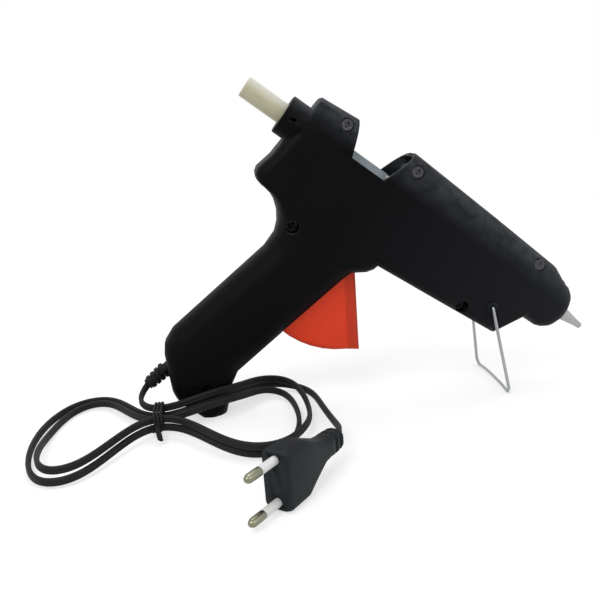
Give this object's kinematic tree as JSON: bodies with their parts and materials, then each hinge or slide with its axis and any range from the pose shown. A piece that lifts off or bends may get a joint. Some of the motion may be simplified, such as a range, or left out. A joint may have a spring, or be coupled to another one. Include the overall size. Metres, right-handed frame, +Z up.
{
  "type": "hot glue gun",
  "caption": "Corded hot glue gun standing on its handle toe and wire stand, with a glue stick, trigger feed linkage, melt chamber, and a tied flat cord with a plug.",
  "frame": {"origin": "on the table, at the centre of the box round the gun without its free cord and plug", "axes": "+X from handle to nozzle, +Y to the user's left, +Z up, as the gun stands on its toe and wire stand"},
  "size_m": [0.3061, 0.1652, 0.1756],
  "materials": {
    "housing_plastic": "fine satin",
    "trigger_plastic": "satin",
    "carriage_plastic": "satin",
    "steel": "zinc plated",
    "blackened_steel": "blackened",
    "steel_wire": "drawn wire",
    "aluminium": "cast",
    "nozzle_metal": "machined",
    "ceramic": "unglazed ceramic",
    "silicone": "moulded silicone",
    "glue": "translucent hot-melt",
    "cord_rubber": "matt",
    "plug_plastic": "matt",
    "pin_sleeve": "satin",
    "pin_metal": "nickel plated",
    "lead_sleeving": "woven glass sleeving"
  },
  "bodies": {
    "housing": {"right_shell": "housing_plastic", "left_shell": "housing_plastic", "trigger_pivot_pin": "steel", "return_spring": "steel", "melt_chamber": "aluminium", "heater_element": "ceramic", "heater_clip": "steel", "inlet_sleeve": "silicone", "rear_mount_ring": "silicone", "front_mount_ring": "silicone", "nozzle": "nozzle_metal", "strain_relief": "cord_rubber", "cable_clamp": "carriage_plastic", "clamp_screw_1": "steel", "clamp_screw_2": "steel", "inner_cord": "cord_rubber", "heater_lead_right": "lead_sleeving", "heater_lead_left": "lead_sleeving", "crimp_right": "steel", "crimp_left": "steel", "cord_hank": "cord_rubber", "cord_lead": "cord_rubber", "cord_tail": "cord_rubber", "cord_tie": "cord_rubber", "plug_body": "plug_plastic", "plug_pin_1": "pin_metal", "plug_pin_2": "pin_metal", "pin_sleeve_1": "pin_sleeve", "pin_sleeve_2": "pin_sleeve", "housing_screw_block": "steel", "housing_screw_barrel_rear": "steel", "housing_screw_barrel_front": "steel", "housing_screw_barrel_low": "blackened_steel", "housing_screw_handle_top": "blackened_steel", "housing_screw_handle_foot": "blackened_steel"},
    "trigger": {"trigger": "trigger_plastic", "arm_link_pin": "steel"},
    "link": {"feed_link_right": "steel", "feed_link_left": "steel"},
    "carriage": {"feed_carriage": "carriage_plastic", "jaw_pin": "steel"},
    "jaw": {"grip_jaw": "steel", "jaw_link_pin": "steel"},
    "stick": {"glue_stick": "glue"},
    "stand": {"wire_stand": "steel_wire"}
  },
  "joints": [
    {"name": "trigger_pull", "type": "hinge", "parent": "housing", "child": "trigger", "pos_m": [-0.01354, 0, 0.07604], "axis": [0, 1, 0], "range_deg": [0, 28], "stiffness_Nm_per_rad": 0.6, "springref_deg": -17.19, "deforming": ["return_spring"]},
    {"name": "link_swing", "type": "hinge", "parent": "trigger", "child": "link", "pos_m": [-0.00091, 0, 0.10325], "axis": [0, 1, 0], "range_deg": [-28.5, 0]},
    {"name": "carriage_slide", "type": "slide", "parent": "housing", "child": "carriage", "axis": [0.7782, 0, -0.628], "range_m": [0, 0.0139]},
    {"name": "jaw_bite", "type": "hinge", "parent": "carriage", "child": "jaw", "pos_m": [-0.00822, 0, 0.11967], "axis": [0, 1, 0], "range_deg": [-5.1, 0]},
    {"name": "stick_feed", "type": "slide", "parent": "housing", "child": "stick", "axis": [0.7782, 0, -0.628], "range_m": [0, 0.0139]},
    {"name": "stand_fold", "type": "hinge", "parent": "housing", "child": "stand", "pos_m": [0.06637, 0, 0.04689], "axis": [0, 1, 0], "range_deg": [0, 110]}
  ],
  "couplings": [
    {"joint": "link_swing", "follows": "trigger_pull", "ratio": -1},
    {"joint": "carriage_slide", "follows": "trigger_pull", "m_per_rad": 0.02824},
    {"joint": "jaw_bite", "follows": "trigger_pull", "ratio": -0.1786},
    {"joint": "stick_feed", "follows": "trigger_pull", "m_per_rad": 0.02824}
  ]
}
